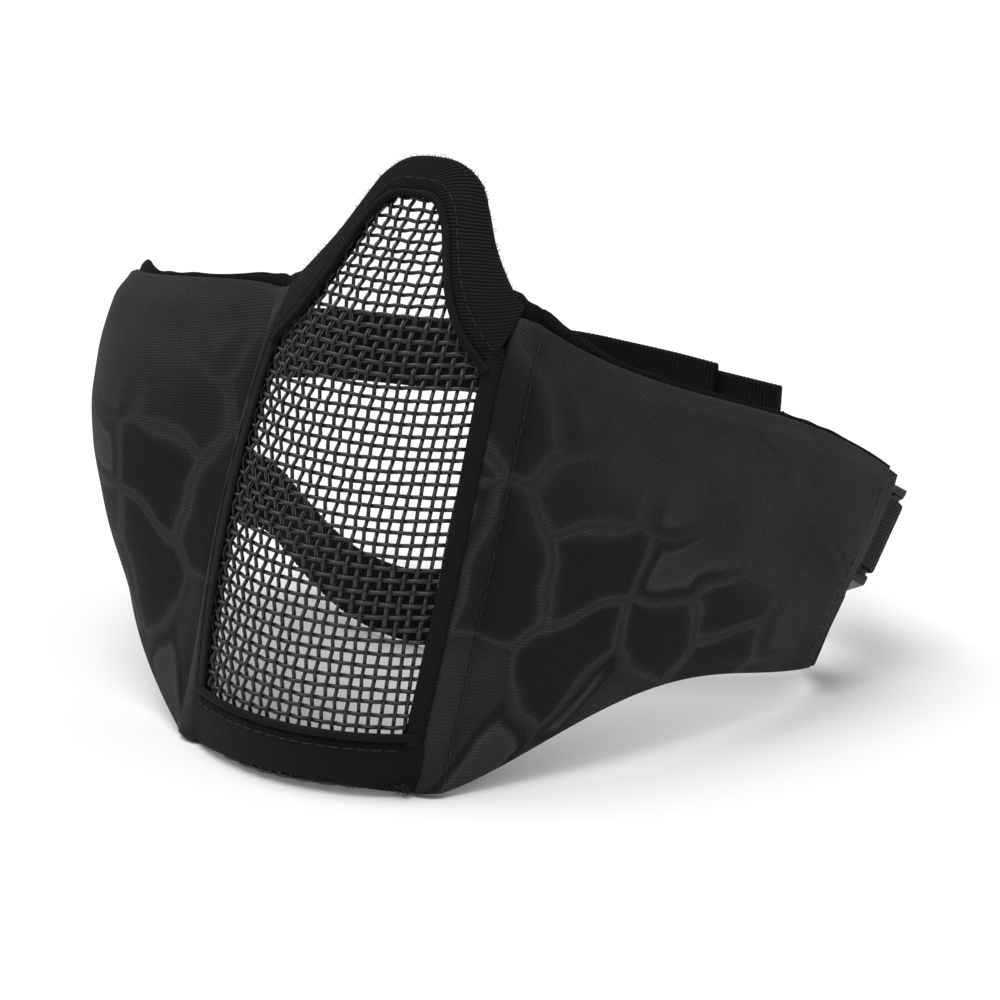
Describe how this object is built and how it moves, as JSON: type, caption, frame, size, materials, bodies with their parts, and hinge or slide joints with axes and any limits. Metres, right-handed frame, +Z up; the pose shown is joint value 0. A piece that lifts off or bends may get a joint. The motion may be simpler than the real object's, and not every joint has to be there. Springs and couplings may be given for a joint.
{
  "type": "camo face mask",
  "caption": "Lower-face mask of black woven wire with a nose arch, padded camouflage cloth side wings and two elastic head straps, one with a slotted adjuster",
  "frame": {"origin": "bottom centre of the mask as it stands on its chin edge", "axes": "-Y is the front of the mask, +X is the wearer's left, +Z is up"},
  "size_m": [0.1924, 0.1726, 0.1317],
  "materials": {
    "wire": "black coated woven steel wire, satin",
    "tape": "black diagonal twill edge tape",
    "camo": "dark grey printed cell camouflage on basket-weave polyester",
    "foam": "thin open-cell padding",
    "lining": "black knitted lining",
    "elastic": "ribbed black woven elastic",
    "webbing": "black ribbed webbing",
    "hardware": "moulded dark grey plastic, half gloss"
  },
  "bodies": {
    "front": {"mesh_panel": "wire", "nose_binding": "tape", "nose_piping": "tape", "chin_binding": "tape", "chin_piping": "tape", "left_seam_binding": "tape", "right_seam_binding": "tape", "left_seam_fold": "camo", "right_seam_fold": "camo", "upper_elastic": "elastic", "upper_webbing": "webbing", "lower_elastic": "elastic"},
    "left_wing": {"left_outer_shell": "camo", "left_foam": "foam", "left_lining": "lining"},
    "right_wing": {"right_outer_shell": "camo", "right_foam": "foam", "right_lining": "lining", "upper_tab": "webbing"},
    "upper_ring": {"upper_adjuster": "hardware"}
  },
  "joints": [
    {"name": "right_wing_fold", "type": "hinge", "parent": "front", "child": "right_wing", "pos_m": [0.03591, -0.07346, 0.00105], "axis": [0, 0.4314, 0.9022], "range_deg": [-20, 35], "deforming": ["upper_webbing", "lower_elastic"]},
    {"name": "left_wing_fold", "type": "hinge", "parent": "front", "child": "left_wing", "pos_m": [-0.03309, -0.07346, 0.00105], "axis": [0, -0.4314, -0.9022], "range_deg": [-20, 35], "deforming": ["upper_elastic", "lower_elastic"]},
    {"name": "upper_adjuster_swing", "type": "hinge", "parent": "right_wing", "child": "upper_ring", "pos_m": [0.09118, 0.05144, 0.03367], "axis": [0.1496, 0.6245, 0.7666], "range_deg": [-65, 15]}
  ]
}
